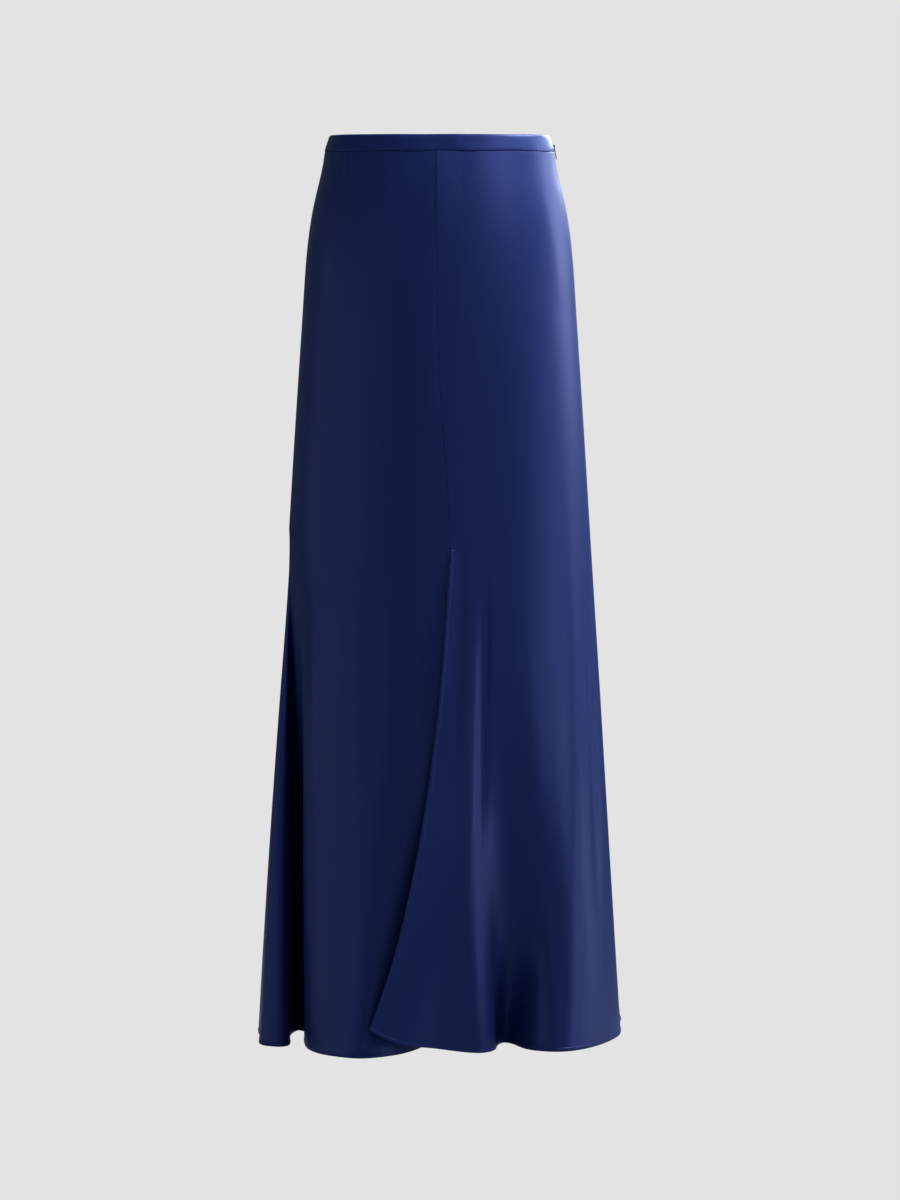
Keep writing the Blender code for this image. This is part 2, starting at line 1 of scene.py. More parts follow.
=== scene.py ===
"""Slip skirt in navy satin: the cloth with its creases, seams and rolled hems, and the side zip.

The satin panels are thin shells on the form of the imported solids. Sizes are in metres and angles in
degrees; +Z is up, the front faces -Y, and +X is the wearer's left, the side with the zip.
"""
import bpy
import numpy as np
from collections import namedtuple
from math import atan, cos, pi, radians, sin, tau
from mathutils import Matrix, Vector


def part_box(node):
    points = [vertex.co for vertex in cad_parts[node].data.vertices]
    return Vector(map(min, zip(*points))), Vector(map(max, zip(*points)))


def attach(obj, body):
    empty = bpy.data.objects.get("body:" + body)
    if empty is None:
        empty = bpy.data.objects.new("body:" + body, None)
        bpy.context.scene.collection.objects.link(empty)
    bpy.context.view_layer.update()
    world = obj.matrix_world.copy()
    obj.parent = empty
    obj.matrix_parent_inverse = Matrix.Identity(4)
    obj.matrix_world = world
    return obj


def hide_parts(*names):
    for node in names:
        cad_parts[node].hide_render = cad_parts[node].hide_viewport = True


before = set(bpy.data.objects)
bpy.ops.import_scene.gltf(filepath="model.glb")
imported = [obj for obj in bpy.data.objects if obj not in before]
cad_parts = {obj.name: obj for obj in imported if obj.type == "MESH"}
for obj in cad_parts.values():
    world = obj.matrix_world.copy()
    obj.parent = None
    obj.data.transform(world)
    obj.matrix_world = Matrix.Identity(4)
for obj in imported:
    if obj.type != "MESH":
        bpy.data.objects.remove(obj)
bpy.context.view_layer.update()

# ---- sizes ---------------------------------------------------------------------------------------

HEM = -1.0346            # height of the hem where nothing lifts it
KNEE = -0.763            # height of the middle station of the fold lines
HIP = -0.30              # height at which, with the hem, places round the skirt are measured
SLIT_TOP = -0.459        # where the centre-front seam ends and the slit starts
BAND_FOOT = -0.0098      # seam between waistband and panels
BAND_TOP = 0.0093
BAND_PROUD = 0.0005      # the band stands this much outside the panels
SATIN_WALL = 0.0005
SEAM_GAP = 0.0003        # between the band and the panels
PANEL_TOP = BAND_FOOT - SEAM_GAP / 2
ZIP_OPENING = 0.0016     # width of the slot above the slider
ZIP_OPEN_FOOT = -0.016   # below this height the slot narrows
ZIP_CLOSED_TOP = -0.034  # below this height the slot is an ordinary seam
SLIT_SET_BACK = 0.0006   # each free edge of the slit stops this far short of the seam line
RUN_STEP = 0.0004        # how far apart the points lie that give the direction of the cloth

# ---- the smooth body: one row for each section ---------------------------------------------------

Section = namedtuple("Section", "name height half_width front back")
SECTIONS = (
    Section("band top", 0.0093, 0.1265, 0.0880, 0.0900),
    Section("band foot", -0.0098, 0.1323, 0.0920, 0.0950),
    Section("yoke", -0.0200, 0.1339, 0.0945, 0.0980),
    Section("high hip", -0.0652, 0.1440, 0.1030, 0.1110),
    Section("hip", -0.1807, 0.1575, 0.1140, 0.1280),
    Section("thigh", -0.3430, 0.1683, 0.1210, 0.1330),
    Section("slit", -0.4590, 0.1755, 0.1290, 0.1380),
    Section("lower thigh", -0.6460, 0.1875, 0.1460, 0.1530),
    Section("calf", -0.8803, 0.2021, 0.1640, 0.1740),
    Section("hem", HEM, 0.2118, 0.1740, 0.1880),
)
SQUARENESS = 2.3         # exponent of the sections: 2 is an ellipse

# ---- fold lines: one row for each line of cloth from the hip down --------------------------------
# "turn" is its place round the hip: 0 front centre, 90 the wearer's left side, 180 the back.
# It leaves the smooth body at "start", and passes through the plan points "knee" and "hem" (x, y).
# "ease" says how: 2 leaves the body softly, 1 breaks away at once, as a sharp fold does.
# A line with no plan points stays on the smooth body. "lift" raises the hem there.

Line = namedtuple("Line", "name turn start ease knee hem lift")
LINES = (
    Line("over edge", 2.7, SLIT_TOP, 2.0, (-0.014, -0.172), (-0.088, -0.214), 0.0327),
    Line("over inner", 5.5, SLIT_TOP, 2.0, (0.004, -0.171), (-0.050, -0.200), 0.0160),
    Line("over middle", 8.0, SLIT_TOP, 2.0, (0.020, -0.169), (-0.013, -0.182), 0.0090),
    Line("over outer", 10.5, SLIT_TOP, 2.0, (0.034, -0.167), (0.019, -0.168), 0.0030),
    Line("ridge inner", 13.0, SLIT_TOP, 2.0, (0.045, -0.164), (0.047, -0.163), 0.0),
    Line("ridge", 15.5, SLIT_TOP, 2.0, (0.053, -0.157), (0.0615, -0.149), 0.0),
    Line("ridge outer", 18.0, SLIT_TOP, 2.0, (0.063, -0.147), (0.0670, -0.108), 0.0),
    Line("valley", 22.0, SLIT_TOP, 2.0, (0.081, -0.139), (0.0750, -0.086), 0.0),
    Line("valley outer", 28.0, SLIT_TOP, 2.0, (0.104, -0.134), (0.0870, -0.103), 0.0),
    Line("flute inner", 35.0, SLIT_TOP, 2.0, (0.127, -0.126), (0.1050, -0.140), 0.0),
    Line("flute", 45.0, SLIT_TOP, 2.0, (0.150, -0.112), (0.1380, -0.153), 0.0),
    Line("flute outer", 57.0, SLIT_TOP, 2.0, (0.171, -0.089), (0.1720, -0.124), 0.0),
    Line("flute side", 72.0, SLIT_TOP, 2.0, (0.187, -0.054), (0.1990, -0.068), 0.0),
    Line("left side", 90.0, SLIT_TOP, 2.0, None, None, 0.0),
    Line("back left", 112.0, SLIT_TOP, 2.0, None, None, 0.0),
    Line("back", 180.0, SLIT_TOP, 2.0, None, None, 0.0),
    Line("back right", 238.0, SLIT_TOP, 2.0, None, None, 0.0),
    Line("swing back", 248.0, -0.445, 1.0, (-0.1860, 0.050), (-0.2020, 0.052), 0.0),
    Line("swing side", 254.0, -0.445, 1.0, (-0.1948, 0.016), (-0.2116, 0.000), 0.0),
    Line("swing front", 258.0, -0.445, 1.0, (-0.1935, -0.020), (-0.2080, -0.055), 0.0),
    Line("swing crest", 262.0, -0.445, 1.0, (-0.1870, -0.042), (-0.1985, -0.110), 0.0),
    Line("swing lip", 265.0, -0.445, 1.0, (-0.1790, -0.042), (-0.1800, -0.116), 0.0),
    Line("swing return", 268.0, -0.445, 1.0, (-0.1745, -0.020), (-0.1740, -0.060), 0.0),
    Line("right side", 270.0, -0.445, 1.0, (-0.1680, 0.004), (-0.1665, 0.004), 0.0),
    Line("recess wall", 281.0, -0.445, 1.0, (-0.1600, -0.010), (-0.1560, -0.008), 0.0),
    Line("recess front", 292.0, -0.445, 1.0, (-0.1572, -0.042), (-0.1562, -0.056), 0.0),
    Line("fold edge", 301.0, -0.445, 1.0, (-0.1561, -0.073), (-0.1550, -0.098), 0.0),
    Line("fold round", 309.0, -0.445, 1.0, (-0.1498, -0.099), (-0.1502, -0.133), 0.0),
    Line("panel outer", 317.0, -0.445, 1.0, (-0.1345, -0.120), (-0.1362, -0.167), 0.0),
    Line("panel crest", 327.0, SLIT_TOP, 2.0, (-0.1110, -0.138), (-0.1120, -0.191), 0.0),
    Line("panel middle", 337.0, SLIT_TOP, 2.0, (-0.0820, -0.151), (-0.0860, -0.201), 0.0),
    Line("panel inner", 346.0, SLIT_TOP, 2.0, (-0.0500, -0.156), (-0.0500, -0.177), 0.0),
    Line("under inner", 354.0, SLIT_TOP, 2.0, (-0.0180, -0.153), (-0.0230, -0.128), 0.0),
    Line("under edge", 362.7, SLIT_TOP, 2.0, (0.0180, -0.146), (-0.0040, -0.066), 0.0),
)

SLIT_EDGES = ("over edge", "under edge")     # the two lines that are sewn together above the slit

# The centre-front seam, and below the slit the free edge of the panel that lies on top.
# "forward" is how far it stands in front of the smooth body.
EdgeStep = namedtuple("EdgeStep", "height x forward")
LEADING_EDGE = (
    EdgeStep(0.0093, -0.0035, 0.0),
    EdgeStep(-0.1800, -0.0029, 0.0),
    EdgeStep(-0.2730, 0.0006, 0.0),
    EdgeStep(-0.3660, 0.0070, 0.0),
    EdgeStep(SLIT_TOP, 0.0122, 0.0),
    EdgeStep(-0.4700, 0.0120, 0.0019),
    EdgeStep(-0.5200, 0.0088, 0.0050),
    EdgeStep(-0.5860, 0.0043, 0.0090),
    EdgeStep(-0.6540, -0.0025, 0.0130),
    EdgeStep(-0.7550, -0.0161, 0.0190),
    EdgeStep(-0.8560, -0.0353, 0.0260),
    EdgeStep(-0.9560, -0.0624, 0.0330),
    EdgeStep(-1.0019, -0.0785, 0.0370),
    EdgeStep(HEM, -0.0880, 0.0400),
)

# Soft flutes round the back, in degrees, and how far they stand out at the knee and at the hem.
Flute = namedtuple("Flute", "name turn half_span knee_out hem_out")
BACK_FLUTES = (
    Flute("left", 116.0, 17.0, 0.005, 0.020),
    Flute("left hollow", 133.0, 12.0, -0.004, -0.016),
    Flute("inner left", 150.0, 15.0, 0.007, 0.026),
    Flute("middle hollow", 168.0, 13.0, -0.006, -0.020),
    Flute("middle", 187.0, 16.0, 0.008, 0.023),
    Flute("right hollow", 206.0, 12.0, -0.005, -0.018),
    Flute("right", 224.0, 15.0, 0.006, 0.021),
)

# ---- curves --------------------------------------------------------------------------------------


def spline_weights(knots, at):
    """Weights that give a natural cubic spline through values at the knots, one row per place."""
    knots = np.asarray(knots, float)
    at = np.atleast_1d(np.asarray(at, float))
    count = len(knots)
    step = np.diff(knots)
    bend = np.eye(count)
    rise = np.zeros((count, count))
    for i in range(1, count - 1):
        bend[i, i - 1:i + 2] = step[i - 1], 2.0 * (step[i - 1] + step[i]), step[i]
        rise[i, i - 1:i + 2] = 6.0 / step[i - 1], -6.0 / step[i - 1] - 6.0 / step[i], 6.0 / step[i]
    second = np.linalg.solve(bend, rise)
    cell = np.clip(np.searchsorted(knots, at) - 1, 0, count - 2)
    width = step[cell]
    before = (knots[cell + 1] - at) / width
    after = (at - knots[cell]) / width
    weights = (second[cell] * ((before ** 3 - before) * width ** 2 / 6.0)[:, None]
               + second[cell + 1] * ((after ** 3 - after) * width ** 2 / 6.0)[:, None])
    rows = np.arange(len(at))
    weights[rows, cell] += before
    weights[rows, cell + 1] += after
    return weights


def smooth_table(rows, height):
    """Value of a table at some heights; each row of the table is (height, value)."""
    ordered = sorted(rows)
    knots = [row[0] for row in ordered]
    values = np.array([row[1] for row in ordered])
    return spline_weights(knots, np.ravel(height)).dot(values).reshape(np.shape(height))


def body_point(turn, height):
    """Plan point of the smooth body."""
    half_width = smooth_table([(s.height, s.half_width) for s in SECTIONS], height)
    front = smooth_table([(s.height, s.front) for s in SECTIONS], height)
    back = smooth_table([(s.height, s.back) for s in SECTIONS], height)
    angle = np.radians(turn)
    side = np.sin(angle)
    ahead = np.cos(angle)
    power = 2.0 / SQUARENESS
    x = half_width * np.sign(side) * np.abs(side) ** power
    y = -np.where(ahead > 0.0, front, back) * np.sign(ahead) * np.abs(ahead) ** power
    return np.stack([x, y], axis=-1)


def line_offset(line, height):
    """How far a fold line stands off the smooth body, in plan."""
    if line.name in SLIT_EDGES:
        seam_x = smooth_table([(e.height, e.x) for e in LEADING_EDGE], height)
        ahead = smooth_table([(e.height, e.forward) for e in LEADING_EDGE], height)
        aside = seam_x - body_point(np.full(np.shape(height), line.turn), height)[..., 0]
        above = np.stack([aside, np.zeros(np.shape(height))], axis=-1)
        if line.name == "over edge":
            below = np.stack([aside, -ahead], axis=-1)
        else:
            below = station_offset(line, height)
        return np.where((height < SLIT_TOP)[..., None], below, above)
    if line.knee is None:
        return np.zeros(np.shape(height) + (2,))
    return station_offset(line, height)


def station_shares(height, start, ease):
    """Shares of the knee and hem offsets at a height, both nothing at the start and above."""
    drop = np.maximum(start - height, 0.0) / (start - HEM)
    knee = (start - KNEE) / (start - HEM)
    knee_share = drop ** ease * (1.0 - drop) / (knee ** ease * (1.0 - knee))
    hem_share = drop ** ease * (drop - knee) / (1.0 - knee)
    return knee_share, hem_share


def station_offset(line, height):
    """Offset of a line that leaves the body at its start and passes its knee and hem stations."""
    at_knee = np.array(line.knee) - body_point(line.turn, KNEE)
    at_hem = np.array(line.hem) - body_point(line.turn, HEM)
    knee_share, hem_share = station_shares(height, line.start, line.ease)
    return knee_share[..., None] * at_knee + hem_share[..., None] * at_hem


def line_places():
    """Parameter of each line: its distance round the skirt, half way between hip and hem."""
    turns = np.array([line.turn for line in LINES])
    hip = body_point(turns, HIP)
    hem = np.array([body_point(line.turn, HEM) + line_offset(line, np.array(HEM)) for line in LINES])
    chord = 0.5 * (np.linalg.norm(np.diff(hip, axis=0), axis=1)
                   + np.linalg.norm(np.diff(hem, axis=0), axis=1))
    return np.concatenate([[0.0], np.cumsum(chord)])


PLACES = line_places()


def turn_at(place):
    """Turn of a place round the skirt, always rising, with smooth speed."""
    turns = np.array([line.turn for line in LINES])
    slope = np.diff(turns) / np.diff(PLACES)
    inner = 2.0 * slope[1:] * slope[:-1] / (slope[1:] + slope[:-1])
    speed = np.concatenate([[slope[0]], inner, [slope[-1]]])
    cell = np.clip(np.searchsorted(PLACES, place) - 1, 0, len(PLACES) - 2)
    width = (PLACES[1:] - PLACES[:-1])[cell]
    t = (place - PLACES[cell]) / width
    return ((2 * t ** 3 - 3 * t ** 2 + 1) * turns[cell] + (t ** 3 - 2 * t ** 2 + t) * width * speed[cell]
            + (3 * t ** 2 - 2 * t ** 3) * turns[cell + 1] + (t ** 3 - t ** 2) * width * speed[cell + 1])


def flute_offset(turn, height):
    """Outward swing of the flutes round the back."""
    knee_share, hem_share = station_shares(height, SLIT_TOP, ease=2.0)
    out = np.zeros(np.shape(turn))
    for flute in BACK_FLUTES:
        reach = np.clip(np.abs(turn - flute.turn) / flute.half_span, 0.0, 1.0)
        bump = 0.5 + 0.5 * np.cos(pi * reach)
        out = out + bump * (flute.knee_out * knee_share + flute.hem_out * hem_share)
    angle = np.radians(turn)
    return out[..., None] * np.stack([np.sin(angle), -np.cos(angle)], axis=-1)


def skirt_plan(place, height):
    """Plan points of the skirt's outer face at places round it and heights of the same shape."""
    weights = spline_weights(PLACES, np.ravel(place))
    heights = np.ravel(height)
    turn = turn_at(np.ravel(place))
    plan = body_point(turn, heights) + flute_offset(turn, heights)
    for column, line in enumerate(LINES):
        plan = plan + weights[:, column, None] * line_offset(line, heights)
    return plan.reshape(np.shape(place) + (2,))


def skirt_point(place, height, inset=0.0, aside=0.0):
    """Points of the skirt, moved inward by inset and along the cloth by aside."""
    place, height, inset, aside = np.broadcast_arrays(place, height, inset, aside)
    run = skirt_plan(np.minimum(place + RUN_STEP, PLACES[-1]), height)
    run = run - skirt_plan(np.maximum(place - RUN_STEP, 0.0), height)
    run = run / np.linalg.norm(run, axis=-1, keepdims=True)
    outward = np.stack([run[..., 1], -run[..., 0]], axis=-1)
    plan = skirt_plan(place, height) - outward * inset[..., None] + run * aside[..., None]
    return np.concatenate([plan, height[..., None]], axis=-1)


def hem_height(place):
    """Height of the hem at places round the skirt."""
    lifts = np.array([line.lift for line in LINES])
    return HEM + spline_weights(PLACES, place).dot(lifts)


def place_of(name):
    """Place of a named fold line."""
    return PLACES[[line.name for line in LINES].index(name)]


# ---- creases: one row for each soft trough or ridge ----------------------------------------------
# Each follows a fold line, shifted round the skirt at its top and foot, and stands "out" by so much
# at its middle (inward if negative). "width" is its half width round the skirt.

Crease = namedtuple("Crease", "name line shift_top shift_foot top foot width out")
CREASES = (
    Crease("seam top, left of it", "under edge", 0.000, 0.000, 0.020, -0.130, 0.0360, 0.0012),
    Crease("seam top, right of it", "over edge", 0.000, 0.000, 0.020, -0.130, 0.0200, 0.0019),
    Crease("ridge line", "ridge", -0.014, -0.012, -0.60, -1.12, 0.0045, 0.0009),
    Crease("ridge shoulder", "ridge inner", 0.004, 0.006, -0.42, -1.16, 0.0170, -0.0052),
    Crease("side column", "flute", 0.040, 0.004, -0.38, -0.92, 0.0120, 0.0024),
    Crease("side column hollow", "flute outer", 0.072, 0.010, -0.38, -0.94, 0.0170, -0.0062),
    Crease("drag from zip", "flute outer", -0.012, 0.010, -0.03, -0.20, 0.0200, 0.0006),
    Crease("fold edge line", "fold edge", 0.006, 0.004, -0.46, -1.06, 0.0060, 0.0010),
    Crease("panel pull one", "panel outer", 0.008, 0.002, -0.40, -0.92, 0.0120, -0.0004),
    Crease("panel pull two", "panel crest", 0.012, 0.003, -0.52, -1.00, 0.0130, 0.0005),
    Crease("panel pull three", "panel middle", 0.002, 0.006, -0.44, -0.84, 0.0150, -0.0004),
    Crease("band drag", "fold round", 0.000, 0.012, -0.006, -0.060, 0.0060, 0.0006),
    Crease("band drag hollow", "fold round", 0.009, 0.022, -0.006, -0.050, 0.0050, -0.0006),
    Crease("corner curl", "over middle", 0.004, 0.004, -0.92, -1.10, 0.0120, -0.0014),
    Crease("back pull left", "back left", 0.020, 0.030, -0.05, -0.42, 0.0200, 0.0012),
    Crease("back pull middle", "back", 0.015, 0.000, -0.28, -0.80, 0.0160, -0.0012),
    Crease("back pull right", "back right", -0.030, -0.020, -0.08, -0.50, 0.0220, 0.0013),
    Crease("back seat hollow", "back", -0.060, -0.045, -0.22, -0.60, 0.0260, -0.0016),
)

CREASE_SWELL = 0.15      # a crease swells and shrinks by this share along its length
CREASE_SWELL_RATE = 5.0
CREASE_SWELL_SHIFT = 400.0                   # times its width, so that wide and narrow ones differ

# Ripples: one wave round the skirt, which sways on its way down, times one down it, which slants.
# Rates are in radians a metre.
Ripple = namedtuple("Ripple", "depth rate sway sway_rate sway_phase down_rate slant down_phase")
RIPPLES = (
    Ripple(0.00020, 71.0, 1.3, 5.0, 0.0, 6.1, 9.0, 0.0),
    Ripple(0.00004, 163.0, 2.1, 3.7, 1.0, 9.7, 0.0, 2.0),
)
RIPPLE_TOP = -0.10       # above this height the hips fill the cloth
RIPPLE_FADE = 0.45       # and this far below it the ripples are at their fullest
RIPPLE_LEAST = 0.12      # share of them that is left at the hips

PUCKER_REACH = 0.0050    # how far the puckers of a seam run into the cloth
PUCKER_DEPTH = 0.00012
PUCKER_STEP = 0.0105     # spacing of the puckers along a seam
PUCKER_STRAY = 1.7       # how far they stray from that spacing, in radians
PUCKER_STRAY_RATE = 61.0
PUCKER_SWELL = 0.4       # share of their depth that comes and goes along the seam
PUCKER_SWELL_RATE = 23.0
HEM_PUCKER = 1.2         # a hem's puckers are deeper by this factor
HEM_PHASE = 2.2          # the phase with which they start

SEAM_DIP = 0.00012       # the cloth rolls in at a seam by this much
SEAM_ROLL = 0.0011       # over this distance
PRESSED = 0.35           # share of the dip at the centre-front seam, which is pressed flat

# Waves of a seam or an edge that isn't quite level. "rate" is in radians a metre.
Wave = namedtuple("Wave", "depth rate phase")
SEAM_WAVES = (Wave(0.00035, 37.0, 0.8), Wave(0.00022, 96.0, 2.0))
TOP_WAVES = (Wave(0.00014, 22.0, 0.6), Wave(0.00008, 57.0, 0.0))
ZIP_CLEAR = 0.02         # the band grows uneven over this distance from the zip


def crease_out(place, height):
    """How far the creases move the cloth outward."""
    out = np.zeros(np.shape(place))
    for crease in CREASES:
        share = (crease.top - height) / (crease.top - crease.foot)
        inside = np.clip(share, 0.0, 1.0)
        fade = 1.0 - np.cos(pi * inside) ** 4
        beat = np.sin(CREASE_SWELL_RATE * inside + crease.width * CREASE_SWELL_SHIFT)
        swell = 1.0 + CREASE_SWELL * beat
        top_place = place_of(crease.line) + crease.shift_top
        middle = top_place + (crease.shift_foot - crease.shift_top) * inside
        across = np.exp(-((place - middle) / crease.width) ** 2)
        out = out + crease.out * (fade * swell) * across
    return out


def ripple(place, height):
    """Faint long ripples of hung satin, fainter where the hips fill the cloth."""
    out = np.zeros(np.shape(place))
    for each in RIPPLES:
        sway = each.sway * np.sin(height * each.sway_rate + each.sway_phase)
        across = np.sin(place * each.rate + sway)
        down = np.sin(height * each.down_rate + place * each.slant + each.down_phase)
        out = out + each.depth * (across * down)
    return out * np.clip((RIPPLE_TOP - height) / RIPPLE_FADE, RIPPLE_LEAST, 1.0)


def pucker(distance, along, phase):
    """Small gathers beside a seam: distance from it and length along it."""
    stray = PUCKER_STRAY * np.sin(along * PUCKER_STRAY_RATE + phase)
    beat = np.sin(tau * along / PUCKER_STEP + phase + stray)
    swell = 1.0 - PUCKER_SWELL + PUCKER_SWELL * np.sin(along * PUCKER_SWELL_RATE + 2.0 * phase)
    return PUCKER_DEPTH * beat * swell * np.exp(-distance / PUCKER_REACH)


def waves(table, place):
    """Sum of the waves of a table at places round the skirt."""
    return sum(wave.depth * np.sin(place * wave.rate + wave.phase) for wave in table)


def off_zip(place, start):
    """From 0 near the zip to 1 away from it, over ZIP_CLEAR from start, a share of ZIP_CLEAR."""
    return np.clip(np.abs(place - place_of("left side")) / ZIP_CLEAR - start, 0.0, 1.0)


def seam_wander(place):
    """How far the band's seam strays from level."""
    return off_zip(place, start=0.3) * waves(SEAM_WAVES, place)


def seam_dip(distance):
    """The roll of the cloth into a seam line."""
    return -SEAM_DIP * np.exp(-(distance / SEAM_ROLL) ** 2)


# ---- mesh helpers --------------------------------------------------------------------------------

TUBE_END = 0.02          # a tube closes on an opening of this share of its section


def add_grid(name, points):
    """A smooth mesh through a grid of points, [column][row]."""
    columns, rows = points.shape[:2]
    index = np.arange(columns * rows).reshape(columns, rows)
    left, right = index[:-1], index[1:]
    quads = np.stack([left[:, :-1], left[:, 1:], right[:, 1:], right[:, :-1]], axis=-1).reshape(-1, 4)
    return add_faces(name, points.reshape(-1, 3), quads)


def add_faces(name, points, quads):
    """A smooth mesh from points and four-cornered faces."""
    mesh = bpy.data.meshes.new(name)
    mesh.vertices.add(len(points))
    mesh.vertices.foreach_set("co", np.asarray(points, np.float32).ravel())
    mesh.loops.add(quads.size)
    mesh.loops.foreach_set("vertex_index", np.asarray(quads, np.int32).ravel())
    mesh.polygons.add(len(quads))
    mesh.polygons.foreach_set("loop_start", np.arange(0, quads.size, 4, dtype=np.int32))
    mesh.update(calc_edges=True)
    mesh.validate()
    mesh.shade_smooth()
    made = bpy.data.objects.new(name, mesh)
    bpy.context.scene.collection.objects.link(made)
    return made


def tube(name, path, across, up, section):
    """A closed tube: at each point of the path, section points lie along two directions there."""
    section = np.asarray(section)
    points = (path[:, None, :] + across[:, None, :] * section[None, :, 0:1]
              + up[:, None, :] * section[None, :, 1:2])
    ends = points[[0, -1]].mean(axis=1, keepdims=True)
    ends = ends + TUBE_END * (points[[0, -1]] - ends)
    points = np.concatenate([ends[:1], points, ends[1:]])
    columns, rows = points.shape[:2]
    index = np.arange(columns * rows).reshape(columns, rows)
    after = np.roll(index, -1, axis=1)
    quads = np.stack([index[:-1], after[:-1], after[1:], index[1:]], axis=-1).reshape(-1, 4)
    return add_faces(name, points.reshape(-1, 3), quads)


def give_material(piece, *materials):
    """The materials of a piece, in order."""
    piece.data.materials.clear()
    for each in materials:
        piece.data.materials.append(each)


# ---- materials -----------------------------------------------------------------------------------

# The deepest and the lightest colour of each material.
SATIN_DEEP = (0.0096, 0.0208, 0.0920)
SATIN_LIGHT = (0.0114, 0.0244, 0.1070)
REVERSE_DEEP = (0.0060, 0.0120, 0.0500)
REVERSE_LIGHT = (0.0085, 0.0160, 0.0640)
TAPE_DEEP = (0.0060, 0.0100, 0.0420)
TAPE_LIGHT = (0.0100, 0.0170, 0.0660)
NYLON_DEEP = (0.007, 0.011, 0.040)
NYLON_LIGHT = (0.010, 0.016, 0.055)
ENAMEL_DEEP = (0.004, 0.006, 0.020)
ENAMEL_LIGHT = (0.008, 0.011, 0.033)
SHEEN_TINT = (0.36, 0.42, 1.0, 1.0)          # the satin's highlights are blue


class Nodes:
    """A material under construction: its nodes, and its Principled shader."""

    def __init__(self, name):
        self.material = bpy.data.materials.new(name)
        self.material.use_nodes = True
        self.tree = self.material.node_tree
        self.shader = self.tree.nodes["Principled BSDF"]

    def add(self, kind, **values):
        """A node, with the values of its properties and inputs."""
        node = self.tree.nodes.new(kind)
        for name, value in values.items():
            label = name.replace("_", " ")
            if hasattr(node, name):
                setattr(node, name, value)
            else:
                node.inputs[label].default_value = value
        return node

    def link(self, source, target):
        """Joins an output to an input."""
        self.tree.links.new(source, target)

    def set(self, **values):
        """Sets numbers and colours of the shader."""
        for name, value in values.items():
            self.shader.inputs[name.replace("_", " ")].default_value = value

    def noise(self, scale, detail=2.0, stretch=(1.0, 1.0, 1.0)):
        """Noise in the skirt's own metres, stretched along its axes."""
        place = self.add("ShaderNodeTexCoord")
        mapping = self.add("ShaderNodeMapping", Scale=stretch)
        texture = self.add("ShaderNodeTexNoise", Scale=scale, Detail=detail)
        self.link(place.outputs["Object"], mapping.inputs["Vector"])
        self.link(mapping.outputs["Vector"], texture.inputs["Vector"])
        return texture.outputs["Fac"]

    def ramp(self, value, low, high):
        """A value from 0 to 1 spread between two numbers or two colours."""
        if hasattr(low, "__len__"):
            mix = self.add("ShaderNodeMix", data_type="RGBA")
            mix.inputs["A"].default_value = (*low, 1.0)
            mix.inputs["B"].default_value = (*high, 1.0)
            self.link(value, mix.inputs["Factor"])
            return [o for o in mix.outputs if o.type == "RGBA"][0]
        mapped = self.add("ShaderNodeMapRange", To_Min=low, To_Max=high)
        self.link(value, mapped.inputs["Value"])
        return mapped.outputs["Result"]

    def vary(self, socket, value, low, high):
        """Lets a value spread an input of the shader between two numbers or two colours."""
        self.link(self.ramp(value, low, high), self.shader.inputs[socket])

    def bumps(self, *layers):
        """Bump layers of (height, strength, distance), one on the other."""
        normal = None
        for height, strength, distance in layers:
            bump = self.add("ShaderNodeBump", Strength=strength, Distance=distance)
            self.link(height, bump.inputs["Height"])
            if normal is not None:
                self.link(normal, bump.inputs["Normal"])
            normal = bump.outputs["Normal"]
        self.link(normal, self.shader.inputs["Normal"])


def satin_face():
    """The shiny face of heavy satin: long floats give a broad, soft, bluish sheen."""
    made = Nodes("satin face")
    made.set(Metallic=0.0, IOR=1.5, Specular_IOR_Level=0.46, Specular_Tint=SHEEN_TINT)
    made.vary("Base Color", made.noise(5.0, 3.0, stretch=(1.0, 1.0, 0.35)), SATIN_DEEP, SATIN_LIGHT)
    made.vary("Roughness", made.noise(90.0, 3.0, stretch=(1.0, 1.0, 0.06)), 0.39, 0.45)
    made.bumps((made.noise(34.0, stretch=(1.0, 1.0, 0.10)), 0.10, 0.0012),
               (made.noise(2600.0, stretch=(1.0, 1.0, 0.35)), 0.10, 0.00008))
    return made.material


def satin_reverse():
    """The matt crepe back of the satin."""
    made = Nodes("satin reverse")
    made.set(Specular_IOR_Level=0.3, Sheen_Weight=0.15, Sheen_Roughness=0.5)
    made.vary("Base Color", made.noise(300.0, 3.0), REVERSE_DEEP, REVERSE_LIGHT)
    made.vary("Roughness", made.noise(800.0), 0.66, 0.80)
    made.bumps((made.noise(2200.0), 0.25, 0.0001))
    return made.material


def zip_tape_cloth():
    """Woven tape with fine cross ribs."""
    made = Nodes("zip tape weave")
    made.set(Specular_IOR_Level=0.25, Sheen_Weight=0.2)
    made.vary("Base Color", made.noise(900.0), TAPE_DEEP, TAPE_LIGHT)
    made.vary("Roughness", made.noise(300.0, 1.0), 0.70, 0.85)
    place = made.add("ShaderNodeTexCoord")
    ribs = made.add("ShaderNodeTexWave", bands_direction="Z", Scale=260.0, Distortion=0.4)
    made.link(place.outputs["Object"], ribs.inputs["Vector"])
    made.bumps((ribs.outputs["Fac"], 0.5, 0.00015))
    return made.material


def nylon():
    """Dyed nylon of the coil."""
    made = Nodes("zip nylon")
    made.vary("Base Color", made.noise(500.0), NYLON_DEEP, NYLON_LIGHT)
    made.vary("Roughness", made.noise(900.0), 0.36, 0.48)
    return made.material


def enamel():
    """Dark navy enamel on the slider and its pull."""
    made = Nodes("zip enamel")
    made.set(Specular_IOR_Level=0.02)
    made.vary("Base Color", made.noise(700.0, 3.0), ENAMEL_DEEP, ENAMEL_LIGHT)
    made.vary("Roughness", made.noise(1500.0, 3.0), 0.48, 0.62)
    made.bumps((made.noise(1800.0, 3.0), 0.12, 0.00005))
    return made.material


